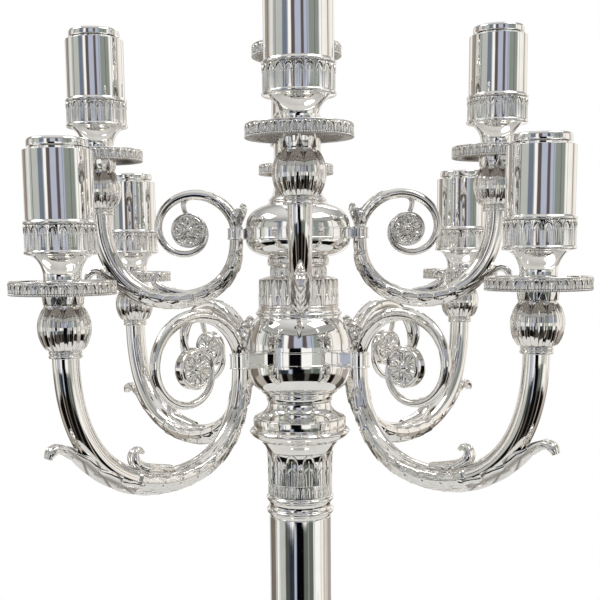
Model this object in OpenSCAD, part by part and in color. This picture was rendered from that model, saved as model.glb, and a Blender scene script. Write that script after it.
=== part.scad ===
// Nine-light table candelabra: a column on a round base carries a lift-off branch unit
// with four low arms, four high arms and a centre light.
// The origin is the middle of the base's underside, +Z is up, and sizes are in millimetres.

/* [Tiers] */
// Height of the lower four drip pans, at mid rim
lower_pan_z = 544.5; // [541:0.5:555]
// Height of the upper four drip pans, at mid rim
upper_pan_z = 636; // [632:1:644]
// Height of the centre drip pan, at mid rim
top_pan_z = 709; // [704:1:725]
// Distance from the column axis to a lower light
lower_reach = 205.5; // [198:0.5:215]
// Distance from the column axis to an upper light
upper_reach = 147; // [143:1:155]

/* [Light holder] */
// Outside diameter of a drip pan
pan_d = 66; // [60:1:72]
// Outside diameter of a candle cup
cup_d = 42; // [41:0.2:44]
// Height of a candle cup above its drip pan's mid rim
cup_h = 82; // [76:0.5:90]
// Bore that takes a candle's foot
candle_bore_d = 22.5; // [20:0.5:24]
// Depth of the candle bore
candle_bore_depth = 27; // [22:1:34]
// Gap all round between a candle insert and its cup
insert_gap = 0.3; // [0.2:0.05:0.4]

/* [Column and base] */
// Outside diameter of the round base
base_d = 236; // [220:2:260]
// Outside diameter of the column
column_d = 48; // [46:0.5:49]
// Bore of the socket that holds the branch unit
socket_d = 30; // [28:0.5:32]
// Depth of the socket
socket_depth = 52; // [46:1:56]
// Gap all round between the branch unit's plug and the socket
plug_gap = 0.3; // [0.2:0.05:0.4]

/* [Bosses and bars] */
// Outside diameter of both bosses that carry the arms
boss_d = 78; // [76:0.5:80]
// Distance from the column axis to the root of a lower arm
lower_root = 60.5; // [58:0.5:63]
// Distance from the column axis to the root of an upper arm
upper_root = 46; // [45:0.5:47]
// Radius of a lower arm's bar at its root
lower_bar_r = 5.75; // [5.5:0.05:6]
// Radius of an upper arm's bar at its root
upper_bar_r = 5; // [4.8:0.05:5.2]

/* [Hidden] */
$fn = 72;

// Directions of the lights, counted from the front left for the low tier and from the front for the high one
LOWER_AZ = [225, 315, 45, 135];
UPPER_AZ = [270, 0, 90, 180];
TIER_NAMES = ["low_1", "low_2", "low_3", "low_4", "high_1", "high_2", "high_3", "high_4", "top"];

// Where each light stands: distance out, direction and pan height
LIGHTS = concat(
    [for (a = LOWER_AZ) [lower_reach, a, lower_pan_z]],
    [for (a = UPPER_AZ) [upper_reach, a, upper_pan_z]],
    [[0, 0, top_pan_z]]
);

// Light holder
bud_h = 43;
stud_r = 3;
stud_gap = 0.1;
pan_rim_h = 8.5;
pan_floor_top = 1.5;
pan_floor_low = -0.5;
stud_top = 9;
cup_lip_r = 17;
cup_wall = 1.6;
insert_rim_h = 7;

// Stack heights along the column axis
felt_t = 1.5;
column_z = 92;
capital_z = 364;
seat_z = 440;
lower_drum_z = 461;
lower_band_z = [482, 493];
sleeve_z = 522;
upper_drum_z = 560;
upper_band_z = [574.2, 582.6];
stem_z = 601;
boss_r = boss_d / 2;
boss_wall = 2.5;
band_t = 1.4;
fit_gap = 0.05;
rod_r = 4;
rod_hole_r = 4.1;
screw_r = 1.6;
nut_h = 7;
nut_top_z = 11;
rod_low = 2.5;

// Arms
lower_bottom_z = 412.5;
upper_bottom_z = 531;
lower_leg = 7.5;
upper_leg = 2.2;
lower_rise_r = 60;
upper_rise_r = 45;
lower_end_r = 8.4;
upper_end_r = 7.7;
rosette_lower = [102.5, 485.5];
rosette_upper = [81.3, 581];
rosette_lower_r = 14.6;
rosette_upper_r = 12.8;
volute_half_t = 2.5;
lap = 0.5;

// Turned shapes

// Points of a smooth curve from a to d with handles at b and c, without its first point
function curve(a, b, c, d, n = 6) = [
    for (i = [1:n]) let (t = i / n, s = 1 - t)
        s * s * s * a + 3 * s * s * t * b + 3 * s * t * t * c + t * t * t * d
];

// Points of a half-round bead of radius r at height z, from its low side to its high side
function bead(r_in, z, r, n = 6) = [
    for (i = [0:n]) let (a = -90 + 180 * i / n) [r_in + r * cos(a), z + r * sin(a)]
];

module turned(points) {
    rotate_extrude() polygon(points);
}

// A turned shell with a hole up its middle
module bored(points, hole_r) {
    difference() {
        turned(points);
        translate([0, 0, points[0][1] - 1])
            cylinder(r = hole_r, h = points[len(points) - 1][1] - points[0][1] + 2);
    }
}

module ring(r_out, r_in, z, h) {
    translate([0, 0, z]) difference() {
        cylinder(r = r_out, h = h);
        translate([0, 0, -1]) cylinder(r = r_in, h = h + 2);
    }
}

module at_light(i) {
    rotate([0, 0, LIGHTS[i][1]]) translate([LIGHTS[i][0], 0, LIGHTS[i][2]]) children();
}

// Bent bar in the XZ plane, told as rows of [bend radius or length, turn in degrees, bar radius].
// A piece runs on a little into a thicker neighbour, so that the pieces join as one solid.

module bar_piece(p, heading, row, lap_start, lap_end) {
    side = row[1] > 0 ? 1 : -1;
    centre = p + side * row[0] * [-sin(heading), cos(heading)];
    from = heading - side * 90 + min(row[1], 0);
    degree = row[0] * PI / 180;
    lap_low = (side > 0 ? lap_start : lap_end) / degree;
    lap_high = (side > 0 ? lap_end : lap_start) / degree;
    if (row[1] == 0)
        translate([p[0], 0, p[1]]) rotate([0, 90 - heading, 0]) translate([0, 0, -lap_start])
            cylinder(r = row[2], h = row[0] + lap_start + lap_end);
    else
        translate([centre[0], 0, centre[1]]) rotate([90, 0, 0]) rotate([0, 0, from - lap_low])
            rotate_extrude(angle = abs(row[1]) + lap_low + lap_high)
                translate([row[0], 0]) circle(r = row[2], $fn = 32);
}

function bar_end(p, heading, row) = let (
    side = row[1] > 0 ? 1 : -1,
    after = heading + row[1]
) row[1] == 0
    ? p + row[0] * [cos(heading), sin(heading)]
    : p + side * row[0] * [sin(after) - sin(heading), cos(heading) - cos(after)];

module bar(p, heading, rows, before_r = 0, i = 0) {
    if (i < len(rows)) {
        row = rows[i];
        after_r = i + 1 < len(rows) ? rows[i + 1][2] : 0;
        bar_piece(p, heading, row, before_r > row[2] ? lap : 0, after_r > row[2] ? lap : 0);
        bar(bar_end(p, heading, row), heading + row[1], rows, row[2], i + 1);
    }
}

// Base and column

function base_outline(edge_r) = concat(
    [[edge_r - 6, felt_t], [edge_r, felt_t], [edge_r, 16]],
    curve([edge_r, 16], [edge_r, 18], [edge_r - 3, 19], [edge_r - 6, 19], 4),
    [[edge_r - 8, 20.5]],
    curve([edge_r - 8, 20.5], [edge_r - 26, 23], [72, 27], [63, 36], 8),
    bead(63, 39.5, 3),
    [[60, 44]],
    curve([60, 44], [57, 56], [46, 62], [35, 68], 8),
    bead(34, 71.5, 2.5),
    [[31, 75]],
    curve([31, 75], [28, 79], [26.5, 84], [26.5, 88], 6),
    [[27.6, 88], [27.6, column_z], [0, column_z]]
);

module base_foot() {
    wall = 3;
    color("gainsboro") difference() {
        turned(concat([[0, felt_t]], base_outline(base_d / 2)));
        turned([
            [0, 0], [base_d / 2 - 4, 0], [base_d / 2 - 4, 14], [base_d / 2 - 9, 16.5],
            [base_d / 2 - 30, 19], [70, 24], [59, 34], [56, 44], [50, 53], [31, 63], [31, 66], [0, 66]
        ]);
        cylinder(r = rod_hole_r, h = column_z + wall);
    }
}

module base_felt() {
    color("darkgreen") ring(base_d / 2 - 8, 18, 0, felt_t);
}

module base_ballast() {
    color("dimgray") difference() {
        bored(
            concat([[0, felt_t], [base_d / 2 - 12, felt_t], [base_d / 2 - 12, 13]],
                curve([base_d / 2 - 12, 13], [base_d / 2 - 40, 17], [66, 19], [52, 40], 6), [[0, 40]]),
            rod_hole_r + 2
        );
        cylinder(r = 13, h = nut_top_z);
    }
}

module base_nut() {
    color("silver") difference() {
        translate([0, 0, nut_top_z - nut_h]) cylinder(r = 9, h = nut_h, $fn = 6);
        cylinder(r = rod_hole_r, h = nut_top_z + 1);
    }
}

module column_tube() {
    color("gainsboro") ring(column_d / 2, column_d / 2 - 1.8, column_z, capital_z - column_z);
}

module column_capital() {
    socket_low = seat_z - socket_depth;
    outline = concat(
        [[0, capital_z], [column_d / 2, capital_z], [column_d / 2, 366]],
        bead(24.4, 368, 2), bead(24.6, 378, 2),
        [[25.4, 381], [25.4, 384]],
        curve([25.4, 384], [24.3, 389], [24.3, 400], [24.4, 406]),
        curve([24.4, 406], [24.4, 412], [24.6, 418], [28.5, 422]),
        curve([28.5, 422], [36, 422.5], [41.5, 429.5], [37, 433.5], 8),
        [[35.4, seat_z], [0, seat_z]]
    );
    color("silver") difference() {
        turned(outline);
        translate([0, 0, socket_low]) cylinder(d = socket_d, h = socket_depth + 1);
        translate([0, 0, capital_z - 1]) cylinder(r = rod_hole_r, h = socket_depth);
        translate([0, 0, capital_z - 1]) cylinder(r = column_d / 2 - 5, h = 11);
    }
}

module column_rod() {
    head_low = seat_z - socket_depth;
    color("lightgray") {
        translate([0, 0, rod_low]) cylinder(r = rod_r, h = head_low - rod_low);
        translate([0, 0, head_low]) cylinder(r = 9, h = 5);
    }
}

// Centre of the branch unit

module branch_plug() {
    plug_low = seat_z - socket_depth + 8;
    color("silver") {
        bored([
            [0, plug_low], [socket_d / 2 - plug_gap - 1, plug_low], [socket_d / 2 - plug_gap, plug_low + 1],
            [socket_d / 2 - plug_gap, seat_z], [0, seat_z]
        ], rod_hole_r);
        bored(concat([[0, seat_z], [34.4, seat_z], [34.4, seat_z + 1]],
            curve([34.4, seat_z + 1], [29, 443], [24.4, 446], [24.2, 451]),
            curve([24.2, 451], [24.2, 455.5], [27, 456], [29, 459.5]),
            [[29, lower_drum_z], [0, lower_drum_z]]), rod_hole_r);
    }
}

// A boss's wall, with a hole at each of four quarters
module drum_shell(outline, inner) {
    color("gainsboro") difference() {
        turned(outline);
        turned(inner);
        for (a = [0:90:270]) rotate([0, 0, a]) children();
    }
}

module radial_hole(r, from, to, z) {
    translate([from, 0, z]) rotate([0, 90, 0]) cylinder(r = r, h = to - from, $fn = 24);
}

module lower_drum() {
    mid = (lower_band_z[0] + lower_band_z[1]) / 2;
    outline = concat(
        [[20, lower_drum_z], [29, lower_drum_z]],
        curve([29, lower_drum_z], [36, 461.5], [boss_r, 465.5], [boss_r, 474]),
        [[boss_r, 498]],
        curve([boss_r, 498], [boss_r, 508], [36, 514], [31, 517]),
        bead(31, 519.5, 1.6), [[31, sleeve_z], [20, sleeve_z]]
    );
    inner = concat(
        [[0, lower_drum_z - 1], [20, lower_drum_z - 1], [20, 464], [27, 464]],
        curve([27, 464], [33, 464.5], [boss_r - boss_wall, 468], [boss_r - boss_wall, 476]),
        [[boss_r - boss_wall, 497]],
        curve([boss_r - boss_wall, 497], [boss_r - boss_wall, 506], [33, 511], [27, 514]),
        [[27, 519], [20, 519], [20, sleeve_z + 1], [0, sleeve_z + 1]]
    );
    drum_shell(outline, inner) rotate([0, 0, 45]) radial_hole(screw_r + 0.1, 30, boss_r + 1, mid);
}

module upper_drum() {
    mid = (upper_band_z[0] + upper_band_z[1]) / 2;
    outline = concat(
        [[14, upper_drum_z], [23, upper_drum_z], [23, upper_drum_z + 1.5]],
        curve([23, 561.5], [31, 562.5], [boss_r, 567], [boss_r, 574]),
        [[boss_r, 583]],
        curve([boss_r, 583], [boss_r, 591], [34, 596], [25, 599]),
        [[22, stem_z], [14, stem_z]]
    );
    inner = concat(
        [[0, upper_drum_z - 1], [14, upper_drum_z - 1], [14, 564], [22, 564]],
        curve([22, 564], [31, 565], [boss_r - boss_wall, 569], [boss_r - boss_wall, 576]),
        [[boss_r - boss_wall, 583]],
        curve([boss_r - boss_wall, 583], [boss_r - boss_wall, 589], [31, 594], [23, 596.5]),
        [[14, 597], [14, stem_z + 1], [0, stem_z + 1]]
    );
    drum_shell(outline, inner) radial_hole(screw_r + 0.1, 30, boss_r + 1, mid);
}

// A flat hoop with four clasps that hold the roots of the arms
module clasp_band(z, root, bar_r, turn) {
    clasp_r = bar_r + 1.8;
    mid = (z[0] + z[1]) / 2;
    height = z[1] - z[0];
    color("silver") difference() {
        union() {
            ring(boss_r + band_t, boss_r + fit_gap, z[0], height);
            for (a = [0:90:270]) rotate([0, 0, a + turn]) {
                translate([boss_r + fit_gap, -5, z[0]]) cube([root - boss_r - bar_r, 10, height]);
                translate([root, 0, z[0]]) cylinder(r = clasp_r, h = height);
            }
        }
        translate([0, 0, z[0] - 1]) cylinder(r = boss_r + fit_gap, h = height + 2);
        for (a = [0:90:270]) rotate([0, 0, a + turn]) {
            translate([root, 0, z[0] - 1]) cylinder(r = bar_r + fit_gap, h = height + 2);
            radial_hole(screw_r + 0.1, boss_r - 1, root, mid);
        }
    }
}

module lower_band() {
    clasp_band(lower_band_z, lower_root, lower_bar_r, 45);
}

module upper_band() {
    clasp_band(upper_band_z, upper_root, upper_bar_r, 0);
}

// Screws through the bosses' walls into the clasps, with their heads inside
module band_screws() {
    color("lightgray") for (i = [0:7]) {
        low = i < 4;
        band = low ? lower_band_z : upper_band_z;
        tip = low ? 50 : 40.6;
        rotate([0, 0, 90 * i + (low ? 45 : 0)]) {
            radial_hole(screw_r, boss_r - boss_wall - 0.5, tip, (band[0] + band[1]) / 2);
            radial_hole(3, boss_r - boss_wall - 2.8, boss_r - boss_wall - 0.3, (band[0] + band[1]) / 2);
        }
    }
}

module leaf_sleeve() {
    outline = concat(
        [[20, sleeve_z], [30.4, sleeve_z], [30.4, 543]],
        curve([30.4, 543], [30.4, 545.5], [27, 546], [24, 546.5], 5),
        curve([24, 546.5], [22, 547.5], [21.4, 549], [21.6, 553]),
        bead(21.8, 557, 2), [[21.8, upper_drum_z], [14, upper_drum_z]]
    );
    color("silver") difference() {
        turned(outline);
        turned([[0, sleeve_z - 1], [20, sleeve_z - 1], [20, sleeve_z + 2], [27.4, sleeve_z + 2],
            [27.4, 541], [20, 543], [14, 549], [14, upper_drum_z + 1], [0, upper_drum_z + 1]]);
    }
}

function bud_outline(h) = concat(
    [[0, -h], [10.7, -h], [10.7, -38.5], [9.8, -38.5]],
    curve([9.8, -38.5], [13, -36], [17, -31], [17, -23.5]),
    curve([17, -23.5], [17, -18], [12.6, -15], [12.5, -11]),
    curve([12.5, -11], [12.4, -7], [13.2, -3], [13.6, pan_floor_low], 4),
    [[0, pan_floor_low]]
);

module bud_part(i) {
    color("silver") at_light(i) bored(bud_outline(bud_h), stud_r + stud_gap);
}

module top_stem() {
    neck_z = top_pan_z - bud_h;
    color("gainsboro") difference() {
        union() {
            turned(concat([[0, stem_z], [21.7, stem_z], [21.7, stem_z + 3]],
                curve([21.7, stem_z + 3], [18.6, stem_z + 5], [17.6, stem_z + 9], [17.6, stem_z + 16]),
                [[17.6, neck_z], [0, neck_z]]));
            translate([0, 0, top_pan_z]) turned(bud_outline(bud_h));
        }
        translate([0, 0, stem_z - 1]) cylinder(r = 14, h = neck_z - stem_z - 4);
        translate([0, 0, stem_z - 1]) cylinder(r = rod_hole_r, h = top_pan_z - stem_z + 2);
    }
}

// Tie rod from the plug to the centre cup, with its head in the socket
module branch_rod() {
    head_low = seat_z - socket_depth + 5.5;
    color("lightgray") {
        translate([0, 0, head_low]) cylinder(r = rod_r + 3, h = 2.5);
        translate([0, 0, head_low + 2.5]) cylinder(r = rod_r, h = stem_z - head_low + 90);
        translate([0, 0, stem_z + 92]) cylinder(r = stud_r, h = top_pan_z + stud_top - stem_z - 92);
    }
}

// Arms

// The bent bar of one arm, with its volute, leaves and stud
module arm_body(root, bar_r, band, leg, bottom_z, rise_r, end_r, light, eye, volute, leaves) {
    drop_r = band[0] - leg - bottom_z;
    rise = rise_r * (sin(30) + 1.5 * (sin(60) - sin(30)) + 1 - sin(60));
    foot_z = light[2] - bud_h;
    run = light[0] - root - drop_r - rise;
    step_r = (end_r - bar_r) / 6;
    color("gainsboro") rotate([0, 0, light[1]]) {
        translate([root, 0, band[0] - lap]) cylinder(r = bar_r, h = band[1] - band[0] + lap);
        bar([root, band[0]], -90, [
            [leg, 0, bar_r + step_r / 2],
            [drop_r, 90, bar_r + step_r],
            [run, 0, bar_r + 2 * step_r],
            [rise_r, 30, bar_r + 3 * step_r],
            [1.5 * rise_r, 30, bar_r + 4 * step_r],
            [rise_r, 30, bar_r + 5 * step_r],
            [foot_z - bottom_z - rise, 0, end_r]
        ]);
        translate([light[0], 0, foot_z - 5]) cylinder(r = stud_r, h = bud_h + stud_top + 5);
        bar([root, band[1]], 90, volute, bar_r);
        translate([eye[0], volute_half_t, eye[1]]) rotate([90, 0, 0])
            cylinder(r = eye[2] - 2, h = 2 * volute_half_t);
        for (leaf = leaves) bar(leaf[0], leaf[1], leaf[2]);
    }
}

module lower_arm(i) {
    arm_body(lower_root, lower_bar_r, lower_band_z, lower_leg, lower_bottom_z, lower_rise_r, lower_end_r,
        LIGHTS[i], [rosette_lower[0], rosette_lower[1], rosette_lower_r],
        [
            [19, -45, 5.3], [54, -45, 4.9], [31.7, -90, 4.2],
            [29, -90, 3.1], [19.3, -90, 2.3], [16, -75, 2.1]
        ],
        [
            [[178, 426], 40, [[27, 0, 2.6], [14, -55, 2.2], [7, -50, 1.6]]],
            [[161, 420], 80, [[12, 0, 2.4], [5, 110, 1.6]]],
            [[57.5, 497], 100, [[16, 0, 2], [5, 90, 1.4]]]
        ]);
}

module upper_arm(i) {
    arm_body(upper_root, upper_bar_r, upper_band_z, upper_leg, upper_bottom_z, upper_rise_r, upper_end_r,
        LIGHTS[i], [rosette_upper[0], rosette_upper[1], rosette_upper_r],
        [
            [20.3, -45, 4.4], [38.4, -45, 3.8], [24.9, -90, 3.3],
            [18.5, -90, 2.6], [15.5, -90, 2.1], [12, -75, 1.9]
        ],
        [
            [[122, 536], 38, [[20, 0, 2.4], [9, -60, 2], [6, -50, 1.5]]],
            [[108, 535], 80, [[9, 0, 2.2], [4, 110, 1.5]]],
            [[43.5, 587], 100, [[8, 0, 1.8], [4, 90, 1.3]]]
        ]);
}

module rosette(eye, r) {
    for (side = [-1, 1]) translate([eye[0], side * (volute_half_t + 1.5), eye[1]]) rotate([90, 0, 0]) {
        translate([0, 0, -1.5]) cylinder(r = r, h = 3);
        translate([0, 0, side > 0 ? -2.7 : 1.5]) cylinder(r = r * 0.22, h = 1.2);
    }
}

module arm_rosettes() {
    color("silver") for (i = [0:7]) rotate([0, 0, LIGHTS[i][1]])
        if (i < 4) rosette(rosette_lower, rosette_lower_r);
        else rosette(rosette_upper, rosette_upper_r);
}

// Pan, cup and candle insert, drawn about the pan's mid rim

module pan_part(i) {
    r = pan_d / 2;
    half = pan_rim_h / 2;
    color("silver") at_light(i) bored([
        [0, pan_floor_low], [r - 9, pan_floor_low], [r - 5, -half], [r, -half], [r, -half + 1.2],
        [r - 0.7, -half + 1.6], [r - 0.7, half - 0.6], [r - 1.3, half], [r - 3, half],
        [r - 6, half - 1.2], [r - 14, pan_floor_top], [0, pan_floor_top]
    ], stud_r + stud_gap);
}

module cup_part(i) {
    r = cup_d / 2;
    color("gainsboro") at_light(i) difference() {
        turned(concat(
            [[0, pan_floor_top], [13.5, pan_floor_top], [13.5, pan_floor_top + 1.2], [11.5, 4.5], [11.5, 8]],
            curve([11.5, 8], [12, 13], [14.5, 17.8], [18.3, 19.6]),
            [[r + 1.4, 20.4], [r + 1.6, 22.2]],
            curve([r + 1.6, 22.2], [r + 1, 24], [r + 1.1, 29], [r + 1.2, 37.4], 4),
            [[r + 1.5, 38], [r + 1.5, 39.8], [r, 40.8], [r, cup_h - 0.6], [r - 0.6, cup_h], [0, cup_h]]
        ));
        translate([0, 0, 24]) cylinder(r = r - cup_wall, h = cup_h - cup_wall - 24);
        translate([0, 0, 24]) cylinder(r = cup_lip_r, h = cup_h);
        translate([0, 0, pan_floor_top - 1]) cylinder(r = stud_r + stud_gap, h = stud_top + 1);
    }
}

module insert_part(i) {
    top = cup_h + insert_rim_h;
    sleeve_r = cup_lip_r - insert_gap;
    low = top - candle_bore_depth - 2.5;
    color("silver") at_light(i) difference() {
        turned([
            [0, low], [candle_bore_d / 2 + 1, low], [candle_bore_d / 2 + 2, low + 1],
            [candle_bore_d / 2 + 2, cup_h - 8], [sleeve_r, cup_h - 6], [sleeve_r, cup_h],
            [17.9, cup_h], [17.9, cup_h + 1], [18.5, cup_h + 1.4], [18.5, cup_h + 4.5],
            [17.9, top - 0.5], [17.3, top], [0, top]
        ]);
        translate([0, 0, top - candle_bore_depth]) cylinder(d = candle_bore_d, h = candle_bore_depth + 1);
    }
}

base_foot();
base_felt();
base_ballast();
base_nut();
column_tube();
column_capital();
column_rod();
branch_plug();
lower_drum();
lower_band();
leaf_sleeve();
upper_drum();
upper_band();
top_stem();
branch_rod();
band_screws();
arm_rosettes();
for (i = [0:3]) lower_arm(i);
for (i = [4:7]) upper_arm(i);
for (i = [0:7]) bud_part(i);
for (i = [0:8]) pan_part(i);
for (i = [0:8]) cup_part(i);
for (i = [0:8]) insert_part(i);
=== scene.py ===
import math

import bpy
import numpy as np
from mathutils import Matrix, Vector


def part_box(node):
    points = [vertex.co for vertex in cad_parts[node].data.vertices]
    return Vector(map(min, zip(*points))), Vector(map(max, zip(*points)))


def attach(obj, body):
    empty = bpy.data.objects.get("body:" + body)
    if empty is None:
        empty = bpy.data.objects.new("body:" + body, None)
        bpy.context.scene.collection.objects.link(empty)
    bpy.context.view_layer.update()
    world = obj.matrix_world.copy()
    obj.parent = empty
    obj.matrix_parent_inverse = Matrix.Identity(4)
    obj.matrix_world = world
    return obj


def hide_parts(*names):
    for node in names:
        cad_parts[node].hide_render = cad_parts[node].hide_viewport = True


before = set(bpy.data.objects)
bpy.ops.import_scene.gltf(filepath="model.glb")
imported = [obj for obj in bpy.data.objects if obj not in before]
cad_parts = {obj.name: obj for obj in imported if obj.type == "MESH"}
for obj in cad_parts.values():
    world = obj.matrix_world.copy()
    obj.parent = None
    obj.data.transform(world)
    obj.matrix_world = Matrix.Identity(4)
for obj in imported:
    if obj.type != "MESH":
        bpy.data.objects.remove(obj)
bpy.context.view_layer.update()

MM = 0.001
TAU = 2 * math.pi
LOW = ["low_1", "low_2", "low_3", "low_4"]
HIGH = ["high_1", "high_2", "high_3", "high_4"]
TIERS = LOW + HIGH + ["top"]


# ---------------- numbers and curves, in millimetres

def span(node):
    """Lowest and highest corner of a CAD node."""
    low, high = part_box(node)
    return np.array(low) / MM, np.array(high) / MM


def level(node):
    """Lowest and highest Z of a CAD node."""
    low, high = span(node)
    return low[2], high[2]


def middle(node):
    """Centre of a CAD node's box."""
    low, high = span(node)
    return (low + high) / 2


def half_width(node):
    """Half of a CAD node's extent in X: a turned node's greatest radius."""
    low, high = span(node)
    return (high - low)[0] / 2


def ramp(x, low, high):
    """0 below low, 1 above high, smooth between."""
    t = unit((np.asarray(x, float) - low) / (high - low))
    return t * t * (3 - 2 * t)


def unit(x):
    """x held between 0 and 1."""
    return np.clip(x, 0, 1)


def dome(x, power=2):
    """Height of a round-topped shape: 1 at 0, falling to 0 at 1, squarer with a higher power."""
    return np.sqrt(unit(1 - x ** power))


def near(x, width):
    """1 where x is 0, falling off over width."""
    return np.exp(-(np.asarray(x, float) / width) ** 2)


def bezier(a, b, c, d, n):
    """Points from a to d with handles at b and c, both ends included."""
    t = np.linspace(0, 1, n)[:, None]
    a, b, c, d = (np.array(p, float) for p in (a, b, c, d))
    return (1 - t) ** 3 * a + 3 * (1 - t) ** 2 * t * b + 3 * (1 - t) * t * t * c + t ** 3 * d


def bulge(r, z, size, n=7):
    """Half-round bead standing out from radius r, centred at height z."""
    return [(r + size * math.cos(a), z + size * math.sin(a)) for a in np.linspace(-1.45, 1.45, n)]


def rounded(marks, closed=True, n=4):
    """Outline through marks (x, y) or (x, y, fillet), with each corner rounded by its fillet."""
    points = [np.array(m[:2], float) for m in marks]
    out = []
    for i, mark in enumerate(marks):
        fillet = mark[2] if len(mark) > 2 else 0
        if fillet == 0 or (not closed and i in (0, len(marks) - 1)):
            out.append(points[i])
            continue
        before, after = points[i - 1] - points[i], points[(i + 1) % len(points)] - points[i]
        reach = min(fillet, 0.48 * np.linalg.norm(before), 0.48 * np.linalg.norm(after))
        start = points[i] + before / np.linalg.norm(before) * reach
        end = points[i] + after / np.linalg.norm(after) * reach
        for t in np.linspace(0, 1, n):
            out.append((1 - t) ** 2 * start + 2 * t * (1 - t) * points[i] + t * t * end)
    return np.array(out)


def travel(line):
    """Unit vectors along an open line, and to the right of it."""
    along = np.gradient(line, axis=0)
    along /= np.linalg.norm(along, axis=1, keepdims=True)
    return along, np.stack([along[:, 1], -along[:, 0]], 1)


def lengths(line):
    """Distance along a line to each of its points."""
    return np.concatenate([[0], np.cumsum(np.linalg.norm(np.diff(line, axis=0), axis=1))])


def spaced(points, step):
    """The same open line with points at an even spacing near step."""
    points = np.array(points, float)
    along = lengths(points)
    want = np.linspace(0, along[-1], max(2, int(round(along[-1] / step)) + 1))
    return np.stack([np.interp(want, along, points[:, k]) for k in range(points.shape[1])], 1)


def eased(points, keys, values):
    """Values at each point's share of the line, smoothly between the keys."""
    share = np.linspace(0, 1, len(points))
    out = np.interp(share, keys, values)
    kernel = np.hanning(max(3, len(points) // 12 * 2 + 1))
    padded = np.pad(out, len(kernel) // 2, mode="edge")
    return np.convolve(padded, kernel / kernel.sum(), mode="valid")


# ---------------- shells

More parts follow.
